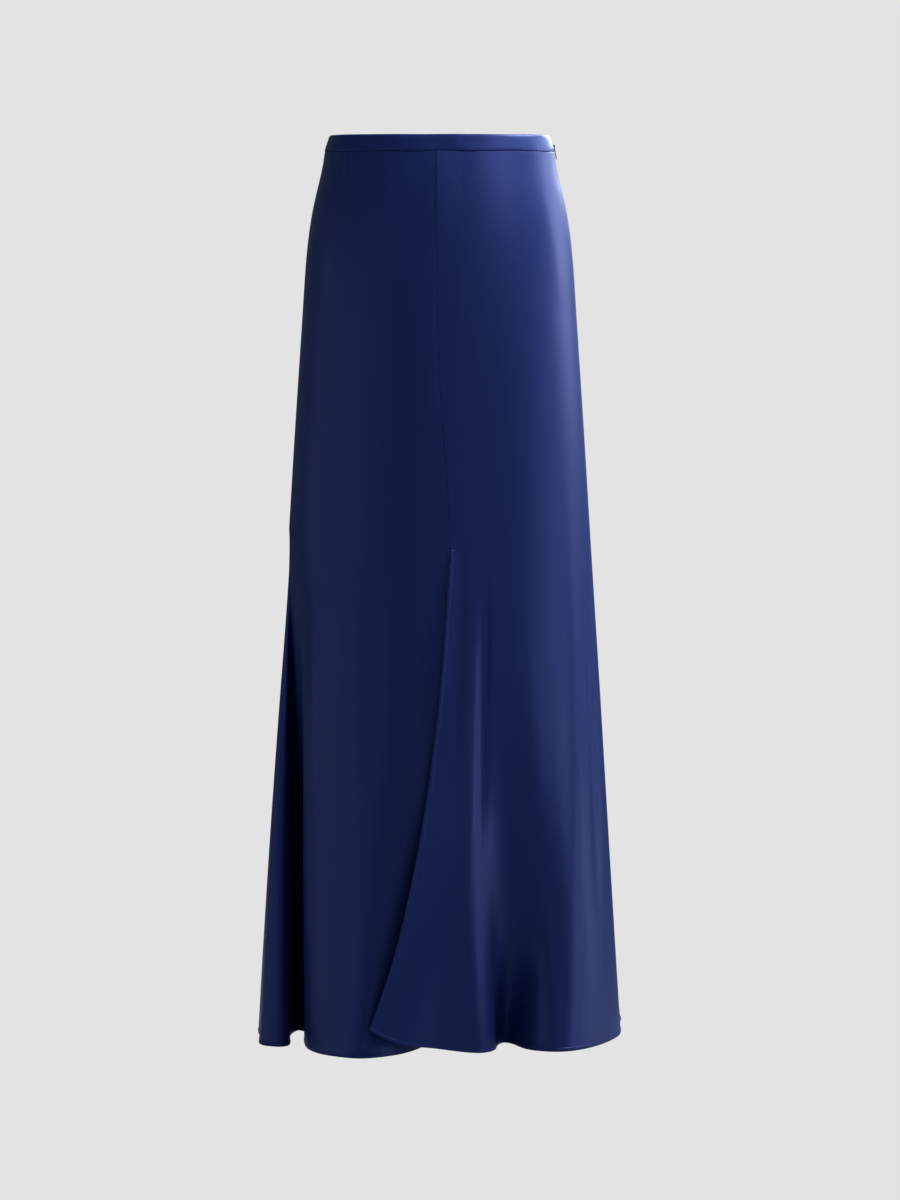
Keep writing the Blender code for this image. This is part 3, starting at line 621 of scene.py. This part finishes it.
# ---- satin panels --------------------------------------------------------------------------------

TURN_IN = 0.0011         # the first column or row of a sewn edge goes this deep into the seam
SEWN_GAP = 0.00004       # each panel stops this far short of the line of a sewn seam
EDGE_FADE = 2.0          # and moves aside for it by less and less from column to column
WANDER_FADE = 40.0       # how fast the panels' rows get level below the band's seam

# Distances from an edge of the first columns or rows beside it.
EDGE_COLUMNS = (0.0, 0.0002, 0.0006, 0.0012, 0.0020, 0.0030, 0.0043, 0.0060, 0.0082, 0.0110)
TOP_ROWS = (0.0, 0.0002, 0.0006, 0.0012, 0.0020, 0.0031, 0.0046, 0.0066, 0.0096, 0.0136)
HEM_ROWS = (0.0, 0.0008, 0.0020, 0.0034, 0.0042, 0.0052, 0.0070, 0.0095, 0.0130, 0.0180, 0.0245, 0.0330)


def spread(low, high, near_low, near_high, count):
    """Places from low to high: close together at both ends and even in between."""
    start = low + near_low[-1]
    stop = high - near_high[-1]
    middle = np.linspace(start, stop, count)
    return np.concatenate([low + np.array(near_low[:-1]), middle, high - np.array(near_high[:-1])[::-1]])


def zip_slot(height):
    """Half the width of the slot between the two sides of the zip, at a height."""
    return np.interp(height, [ZIP_CLOSED_TOP, ZIP_OPEN_FOOT], [SEWN_GAP, ZIP_OPENING / 2])


def edge_clearance(seam, height):
    """How far a panel's edge stops short of a seam line, at a height."""
    if seam == "left side":
        return zip_slot(height)
    if seam in SLIT_EDGES:
        return np.where(height < SLIT_TOP, SLIT_SET_BACK, SEWN_GAP)
    return np.full(np.shape(height), SEWN_GAP)


def turned_in(seam, height):
    """Depth of the edge of a panel in its seam: nothing along the free edges of the slit."""
    free = (height < SLIT_TOP) & (seam in SLIT_EDGES)
    return np.where(free, 0.0, TURN_IN)


# Each panel goes round from its first fold line to its last. "columns" and "rows" are those that are
# evenly spaced, and "width", "length" and "area" are those of its cut.
Panel = namedtuple("Panel", "name node first last columns rows width length area")
PANELS = (
    Panel("front_satin_left", "front_panel_left", "over edge", "left side",
          190, 170, 0.504, 1.030, 0.285),
    Panel("back_satin", "back_panel", "left side", "right side",
          255, 150, 1.020, 1.030, 0.615),
    Panel("front_satin_right", "front_panel_right", "right side", "under edge",
          180, 170, 0.410, 1.043, 0.275),
)


def panel_grid(panel):
    """Places and heights of a panel's points, [column][row]."""
    first, last = place_of(panel.first), place_of(panel.last)
    places = spread(first, last, EDGE_COLUMNS, EDGE_COLUMNS, panel.columns)
    drop = spread(0.0, PANEL_TOP - HEM, TOP_ROWS, HEM_ROWS, panel.rows) / (PANEL_TOP - HEM)
    foot = hem_height(places)
    place = np.repeat(places[:, None], len(drop), axis=1)
    height = PANEL_TOP - (PANEL_TOP - foot)[:, None] * drop[None, :]
    height += seam_wander(place) * np.exp(-drop[None, :] * WANDER_FADE)
    return place, height


def panel_out(panel, place, height):
    """Outward relief of a panel: creases, ripples, puckers and the roll into its seams and hem."""
    first, last = place_of(panel.first), place_of(panel.last)
    from_top = PANEL_TOP + seam_wander(place) - height
    from_hem = height - hem_height(place[:, 0])[:, None]
    out = crease_out(place, height) + ripple(place, height)
    out += pucker(from_top, place, phase=0.4) + seam_dip(from_top)
    out += HEM_PUCKER * pucker(from_hem, place, HEM_PHASE)
    sides = ((panel.first, place - first, 1.0), (panel.last, last - place, 2.0))
    for seam, distance, phase in sides:
        sewn = np.where(height < SLIT_TOP, 0.0, PRESSED) if seam in SLIT_EDGES else 1.0
        out += sewn * seam_dip(distance) + pucker(distance, height, phase)
    out[:, 0] -= TURN_IN
    out[0] -= turned_in(panel.first, height[0])
    out[-1] -= turned_in(panel.last, height[-1])
    return out


def satin_panel(panel, face, reverse):
    """One panel as a thin shell, shiny outside and matt inside."""
    place, height = panel_grid(panel)
    aside = np.zeros(height.shape)
    fade = np.exp(-np.arange(len(place)) / EDGE_FADE)
    aside += fade[:, None] * edge_clearance(panel.first, height)
    aside -= fade[::-1, None] * edge_clearance(panel.last, height)
    points = skirt_point(place, height, -panel_out(panel, place, height), aside)
    made = add_grid(panel.name, points)
    give_material(made, face, reverse)
    wall = made.modifiers.new("cloth", "SOLIDIFY")
    wall.thickness = SATIN_WALL
    wall.offset = -1.0
    wall.material_offset = 1
    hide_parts(panel.node)
    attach(made, "skirt")
    return made


# ---- rolled hems ---------------------------------------------------------------------------------

# Section of a rolled hem: distance under the cloth's face, and distance in from the edge.
HEM_SECTION = ((-0.00010, 0.0044), (-0.00030, 0.0037), (-0.00038, 0.0024), (-0.00034, 0.0012),
               (-0.00010, 0.0003), (0.00030, -0.0001), (0.00080, 0.0001), (0.00115, 0.0007),
               (0.00125, 0.0018), (0.00122, 0.0032), (0.00100, 0.0042), (0.00050, 0.0045))
HEM_SET_BACK = 0.0004    # the hem of a panel's foot stops this far short of its seams
HEM_END_COLUMNS = (0.0, 0.001, 0.002)
SLIT_HEM_DROP = 0.004    # the hems of the slit start this far below its top
SLIT_HEM_ROWS = 300
PROBE = 0.001            # depth of the second point that shows which way is under the cloth
UP = np.array([0.0, 0.0, 1.0])


def hem_tube(name, place, height, inward, face):
    """A rolled hem along a line of the cloth. The panel is on its inward side: up, left or right."""
    along = place if inward == "up" else height
    beat = pucker(np.zeros(len(place)), along, HEM_PHASE)
    out = crease_out(place, height) + ripple(place, height) + HEM_PUCKER * beat
    path = skirt_point(place, height, -out)
    under = (skirt_point(place, height, -out + PROBE) - path) / PROBE
    if inward == "up":
        into = np.tile(UP, (len(place), 1))
    else:
        into = np.cross(under, UP) * (1.0 if inward == "left" else -1.0)
    made = tube(name, path, under, into, HEM_SECTION)
    give_material(made, face)
    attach(made, "skirt")
    return made


def bottom_hem(panel, face):
    """The rolled hem along the foot of a panel."""
    place = spread(place_of(panel.first) + HEM_SET_BACK, place_of(panel.last) - HEM_SET_BACK,
                   HEM_END_COLUMNS, HEM_END_COLUMNS, 3 * panel.columns // 2)
    return hem_tube(panel.name + "_hem", place, hem_height(place), "up", face)


def slit_hem(panel, name, face):
    """The rolled hem down the free edge of the slit."""
    edge = place_of(name)
    height = np.linspace(SLIT_TOP - SLIT_HEM_DROP, hem_height(np.array([edge]))[0], SLIT_HEM_ROWS)
    place = np.full(SLIT_HEM_ROWS, edge)
    inward = "left" if name == "over edge" else "right"
    return hem_tube(panel.name + "_slit_hem", place, height, inward, face)


# ---- zip -----------------------------------------------------------------------------------------

COIL_UNDER = (0.0036, 0.0043)                # depth of the coil under the panels and under the band
TOOTH_PITCH = 0.0014
TOOTH_HALF = (0.00085, 0.00125, 0.00046)     # half sizes of a loop of the coil: depth, width, height
TOOTH_SIDES = 8
TOOTH_ASIDE = 0.00045    # the loops of each side stand this far off the middle
TOOTH_STAGGER = 0.25     # and a quarter of the pitch above or below it
STRAND = 0.00032         # radius of the strands that hold the loops
STRAND_ASIDE = 0.0014
STRAND_INSET = 0.0005    # the strands end this far inside the ends of the solid coil
STRAND_ROWS = 90
EDGE_ROUND = 0.00016     # rounding of the slider and its pull
EDGE_ANGLE = 35.0        # edges sharper than this are rounded

# Rings of a loop: place along it and size, as shares of its half sizes.
TOOTH_RINGS = ((-1.0, 0.40), (-0.80, 0.80), (-0.30, 1.0), (0.30, 1.0), (0.80, 0.80), (1.0, 0.40))


def coil_line(height):
    """Middle of the coil, inside the slot."""
    line = skirt_point(np.full(height.shape, place_of("left side")), height)
    line[:, 0] -= np.interp(height, [ZIP_OPEN_FOOT, BAND_FOOT], COIL_UNDER)
    return line


def coil_loop():
    """Points and faces of one loop of the coil, at the origin."""
    angle = np.arange(TOOTH_SIDES) * tau / TOOTH_SIDES
    rings = [[(size * cos(a), along, size * sin(a)) for a in angle] for along, size in TOOTH_RINGS]
    index = np.arange(len(TOOTH_RINGS) * TOOTH_SIDES).reshape(len(TOOTH_RINGS), TOOTH_SIDES)
    after = np.roll(index, -1, axis=1)
    sides = np.stack([index[:-1], index[1:], after[1:], after[:-1]], axis=-1).reshape(-1, 4)
    cap = [[0, 1, 2, 3], [0, 3, 4, 7], [4, 5, 6, 7]]
    faces = np.concatenate([sides, index[0][cap], index[-1][cap][:, ::-1]])
    return np.array(rings).reshape(-1, 3) * TOOTH_HALF, faces


def coil_teeth(low, high):
    """The loops from either side, which reach between each other."""
    loop, loop_faces = coil_loop()
    count = int((high - low) / TOOTH_PITCH) - 1
    points = []
    faces = []
    for side in (-1.0, 1.0):
        aside = np.array([0.0, TOOTH_ASIDE * side, 0.0])
        heights = high - TOOTH_PITCH * (1.0 + np.arange(count) + TOOTH_STAGGER * side)
        for middle in coil_line(heights):
            faces.append(loop_faces + len(loop) * len(points))
            points.append(loop + middle + aside)
    return add_faces("zip_loops", np.concatenate(points), np.concatenate(faces))


def coil_strand(low, high, side):
    """The strand that holds the loops of one side."""
    angle = np.arange(TOOTH_SIDES) * tau / TOOTH_SIDES
    section = [(STRAND * cos(a), STRAND * sin(a)) for a in angle]
    heights = np.linspace(high - STRAND_INSET, low + STRAND_INSET, STRAND_ROWS)
    path = coil_line(heights) + np.array([0.0, STRAND_ASIDE * side, 0.0])
    across = np.tile([1.0, 0.0, 0.0], (STRAND_ROWS, 1))
    up = np.tile([0.0, -1.0, 0.0], (STRAND_ROWS, 1))
    return tube("zip_strand", path, across, up, section)


def zip_teeth(finish):
    """The closed coil: its loops on two strands."""
    low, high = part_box("zip_coil")
    teeth = coil_teeth(low[2], high[2])
    strands = [coil_strand(low[2], high[2], side) for side in (-1.0, 1.0)]
    for piece in (teeth, *strands):
        give_material(piece, finish)
        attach(piece, "skirt")
    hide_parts("zip_coil")


def zip_metal(finish):
    """Round the edges of the slider and its pull."""
    for node in ("zip_slider", "zip_pull"):
        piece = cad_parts[node]
        give_material(piece, finish)
        rounding = piece.modifiers.new("rounding", "BEVEL")
        rounding.width = EDGE_ROUND
        rounding.segments = 3
        rounding.limit_method = "ANGLE"
        rounding.angle_limit = radians(EDGE_ANGLE)
        rounding.harden_normals = True


# ---- waistband -----------------------------------------------------------------------------------

# Profile of the band from its foot up the outside, over the rolled top, down the inside and round
# the seam allowance that lies behind the panels: height, and distance under the outer face.
BAND_PROFILE = ((BAND_FOOT + 0.0001, 0.0006), (BAND_FOOT + 0.0004, 0.0002), (-0.0088, 0.0000),
                (-0.0070, -0.0001), (-0.0040, -0.0001), (-0.0010, 0.0000), (0.0020, 0.0001),
                (0.0055, 0.0001), (0.0077, 0.0003), (0.0086, 0.0007), (0.0090, 0.0012),
                (0.0092, 0.0020), (0.0093, 0.0032), (0.0092, 0.0044), (0.0087, 0.0052),
                (0.0076, 0.0047), (0.0060, 0.0036), (0.0040, 0.0028), (0.0000, 0.0024),
                (-0.0050, 0.0024), (-0.0090, 0.0024), (BAND_FOOT - 0.0070, 0.0028),
                (BAND_FOOT - 0.0074, 0.0024), (BAND_FOOT - 0.0068, 0.0021), (BAND_FOOT, 0.0017))
BAND_COLUMNS = 560
BAND_END_COLUMNS = (0.0, 0.002)
TOP_WAVE_FOOT = 0.004    # the waves of the top edge start at this height
TOP_WAVE_RISE = 0.005
TOP_WAVE_MOST = 0.6
TOP_PLAY = 0.0003        # and lift no point higher than this above BAND_TOP
SEAM_WAVE_REACH = 0.004  # how far up the band the waves of its seam reach
FACE_DEPTH = 0.001       # points of the profile nearer the outer face than this are part of it
BAND_DRAG = 0.00016      # depth of the slanting drags on that face
BAND_DRAG_ROUND = 41.0   # their rates round the band and up it, in radians a metre
BAND_DRAG_UP = 90.0


def waistband(face):
    """The narrow folded band, a little uneven along its top edge and its seam."""
    left = place_of("left side")
    behind = spread(left, place_of("under edge"), EDGE_COLUMNS, BAND_END_COLUMNS, BAND_COLUMNS // 2)
    ahead = spread(place_of("over edge"), left, BAND_END_COLUMNS, EDGE_COLUMNS, BAND_COLUMNS // 2)
    places = np.concatenate([behind, ahead[1:]])
    level, depth = np.array(BAND_PROFILE).T
    height = np.where(level < BAND_FOOT, off_zip(places, start=0.7)[:, None], 1.0)
    height = BAND_FOOT + height * (level - BAND_FOOT)
    top_share = np.clip((level - TOP_WAVE_FOOT) / TOP_WAVE_RISE, 0.0, TOP_WAVE_MOST)
    height += waves(TOP_WAVES, places)[:, None] * top_share
    height = np.minimum(height, BAND_TOP + TOP_PLAY)
    place = np.repeat(places[:, None], len(level), axis=1)
    height = height + seam_wander(place) * np.exp(-((height - BAND_FOOT) / SEAM_WAVE_REACH) ** 2)
    drag = BAND_DRAG * np.sin(place * BAND_DRAG_ROUND + height * BAND_DRAG_UP)
    relief = drag + pucker(height - BAND_FOOT, place, phase=0.9)
    inset = depth - BAND_PROUD - relief * np.where(depth < FACE_DEPTH, 1.0, 0.0)
    aside = np.zeros(place.shape)
    aside[0] = ZIP_OPENING / 2
    aside[-1] = -ZIP_OPENING / 2
    points = skirt_point(place, height, inset, aside)
    points = np.concatenate([points, points[:, :1]], axis=1)[:, ::-1]
    made = add_grid("waistband_satin", points)
    give_material(made, face)
    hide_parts("waistband")
    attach(made, "skirt")


# ---- studio --------------------------------------------------------------------------------------

BACKDROP = (0.768, 0.768, 0.768, 1.0)        # the pale background, as the camera sees it
ROOM = (0.104, 0.115, 0.143, 1.0)            # and the light that it gives
FLOOR = (0.30, 0.31, 0.33, 1.0)              # the floor, as the skirt sees it
FLOOR_HEIGHT = HEM - 0.055
FLOOR_REACH = 40.0
LAMP_TINT = (0.72, 0.80, 1.0)

# Lamps on circles round the skirt. "azimuth" is 0 in front and 90 at the wearer's left side, "reach"
# is the circle's radius, "aim" the height that the lamp points at, and "beam" the spread of its light.
Lamp = namedtuple("Lamp", "name azimuth height reach aim width tall beam power")
LAMPS = (
    Lamp("top key", 110.0, 1.80, 1.5, -0.10, 1.0, 1.0, 90.0, 28.0),
    Lamp("high front key", 80.0, 1.60, 1.2, -0.02, 0.5, 0.4, 60.0, 5.2),
    Lamp("front key", 40.0, 0.50, 1.2, -0.02, 0.5, 0.4, 60.0, 0.6),
    Lamp("rim light", 152.0, 0.45, 1.6, -0.18, 0.6, 0.6, 40.0, 1.8),
    Lamp("side key", 112.0, 0.35, 2.0, 0.05, 1.3, 1.0, 60.0, 3.6),
    Lamp("low side key", 70.0, -0.60, 2.2, -0.60, 0.5, 0.8, 60.0, 0.6),
    Lamp("hem key", 75.0, -0.90, 1.6, -0.85, 0.35, 0.5, 60.0, 0.20),
    Lamp("hem fill", 104.0, -0.95, 1.6, -1.05, 0.7, 0.35, 180.0, 2.0),
    Lamp("left fill", -75.0, -0.45, 2.2, -0.50, 2.2, 1.4, 180.0, 6.2),
    Lamp("front left fill", -40.0, -0.40, 2.4, -0.40, 1.0, 1.2, 120.0, 1.5),
    Lamp("front fill", 10.0, -0.60, 2.4, -0.60, 0.8, 0.8, 90.0, 0.6),
)

CAMERA_PLACE = (0.0122, -6.0, -0.0998)       # six metres in front, 10 cm below the waist
CAMERA_LENS = 155.2      # in millimetres, for a sensor 36 mm wide
CAMERA_SLOPE = 0.07154   # it looks down by this much a metre


def softbox(row):
    """The area light of one row of the table."""
    angle = radians(row.azimuth)
    target = Vector((0.0, 0.0, row.aim))
    place = Vector((sin(angle) * row.reach, -cos(angle) * row.reach, row.height))
    lamp = bpy.data.lights.new(row.name, "AREA")
    lamp.shape = "RECTANGLE"
    lamp.size = row.width
    lamp.size_y = row.tall
    lamp.spread = radians(row.beam)
    lamp.energy = row.power
    lamp.color = LAMP_TINT
    holder = bpy.data.objects.new(row.name, lamp)
    holder.location = place
    holder.rotation_euler = (target - place).to_track_quat("-Z", "Y").to_euler()
    bpy.context.scene.collection.objects.link(holder)


def join_surface(tree, felt, seen, surface):
    """Gives a surface one shader for the camera and another for all other rays."""
    ray = tree.nodes.new("ShaderNodeLightPath")
    mix = tree.nodes.new("ShaderNodeMixShader")
    tree.links.new(ray.outputs["Is Camera Ray"], mix.inputs["Fac"])
    tree.links.new(felt, mix.inputs[1])
    tree.links.new(seen, mix.inputs[2])
    tree.links.new(mix.outputs["Shader"], surface)


def backdrop():
    """The pale background."""
    world = bpy.data.worlds.new("studio")
    bpy.context.scene.world = world
    world.use_nodes = True
    tree = world.node_tree
    seen = tree.nodes["Background"]
    seen.inputs["Color"].default_value = BACKDROP
    room = tree.nodes.new("ShaderNodeBackground")
    room.inputs["Color"].default_value = ROOM
    join_surface(tree, room.outputs["Background"], seen.outputs["Background"],
                 tree.nodes["World Output"].inputs["Surface"])


def ground():
    """A floor that the camera sees without shadows, in the background's own tone."""
    sides = ((-1.0, -1.0), (1.0, -1.0), (1.0, 1.0), (-1.0, 1.0))
    corners = np.array([(x * FLOOR_REACH, y * FLOOR_REACH, FLOOR_HEIGHT) for x, y in sides])
    floor = add_faces("floor", corners, np.array([[0, 1, 2, 3]]))
    paint = bpy.data.materials.new("pale floor")
    paint.use_nodes = True
    tree = paint.node_tree
    glow = tree.nodes.new("ShaderNodeEmission")
    glow.inputs["Color"].default_value = BACKDROP
    matt = tree.nodes["Principled BSDF"]
    matt.inputs["Base Color"].default_value = FLOOR
    matt.inputs["Specular IOR Level"].default_value = 0.0
    join_surface(tree, matt.outputs["BSDF"], glow.outputs["Emission"],
                 tree.nodes["Material Output"].inputs["Surface"])
    give_material(floor, paint)


def studio():
    """Background, floor, keys high and low at the wearer's left, and weak fills."""
    backdrop()
    ground()
    for row in LAMPS:
        softbox(row)
    bpy.context.scene.view_settings.view_transform = "Standard"


def camera():
    """The viewpoint, looking slightly down."""
    lens = bpy.data.cameras.new("camera")
    lens.sensor_width = 36.0
    lens.lens = CAMERA_LENS
    holder = bpy.data.objects.new("camera", lens)
    holder.location = CAMERA_PLACE
    holder.rotation_euler = (pi / 2 - atan(CAMERA_SLOPE), 0.0, 0.0)
    bpy.context.scene.collection.objects.link(holder)
    bpy.context.scene.camera = holder


# ---- the whole skirt -----------------------------------------------------------------------------


def build():
    """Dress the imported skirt."""
    face = satin_face()
    reverse = satin_reverse()
    for panel in PANELS:
        cloth = satin_panel(panel, face, reverse)
        trims = [bottom_hem(panel, face)]
        trims += [slit_hem(panel, seam, face) for seam in (panel.first, panel.last) if seam in SLIT_EDGES]
    waistband(face)
    weave = zip_tape_cloth()
    for node in ("zip_tape_front", "zip_tape_back"):
        give_material(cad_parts[node], weave)
    zip_teeth(nylon())
    zip_metal(enamel())


camera()
studio()
build()
